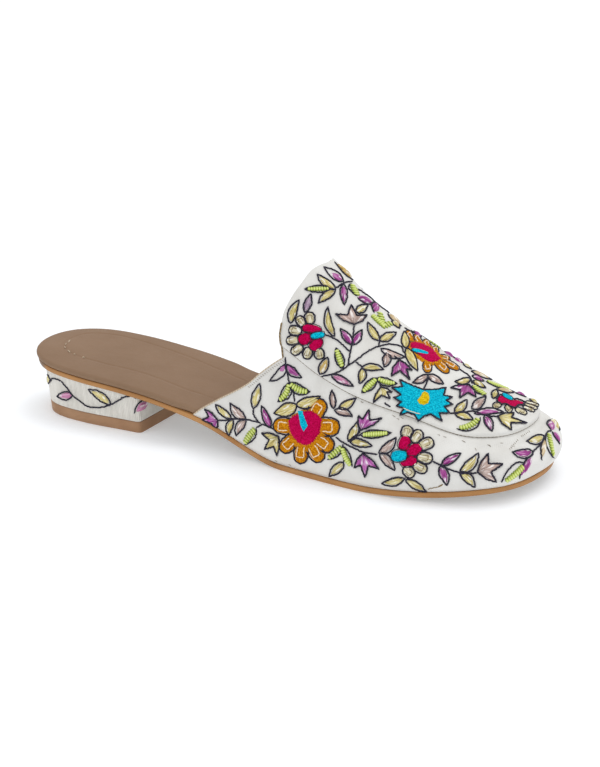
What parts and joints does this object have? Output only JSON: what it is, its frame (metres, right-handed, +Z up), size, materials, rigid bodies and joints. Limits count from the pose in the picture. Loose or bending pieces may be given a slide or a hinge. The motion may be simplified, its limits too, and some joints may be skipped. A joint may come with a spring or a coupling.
{
  "type": "mojari",
  "caption": "Backless mojari with a raised tongue and apron, floral embroidery on pale cloth, a leather footbed, a thin tan sole and a low block heel covered in cloth.",
  "frame": {"origin": "on the floor, under the middle of the shoe's box", "axes": "+X from heel to toe, +Y to the inner side of the foot, +Z up"},
  "size_m": [0.2522, 0.0852, 0.0828],
  "materials": {
    "sole_leather": "smooth tan edge, satin",
    "footbed_leather": "fine grain, matt",
    "heel_cloth": "ribbed off-white cloth with embroidery, matt",
    "heel_leather": "stacked brown leather, satin",
    "upper_cloth": "off-white cloth with raised embroidery, matt",
    "apron_cloth": "off-white cloth with raised embroidery, matt"
  },
  "bodies": {
    "root": {"outsole": "sole_leather", "insole": "footbed_leather", "heel_block": "heel_cloth", "heel_top_piece": "heel_leather", "upper": "upper_cloth", "apron": "apron_cloth"}
  },
  "joints": []
}
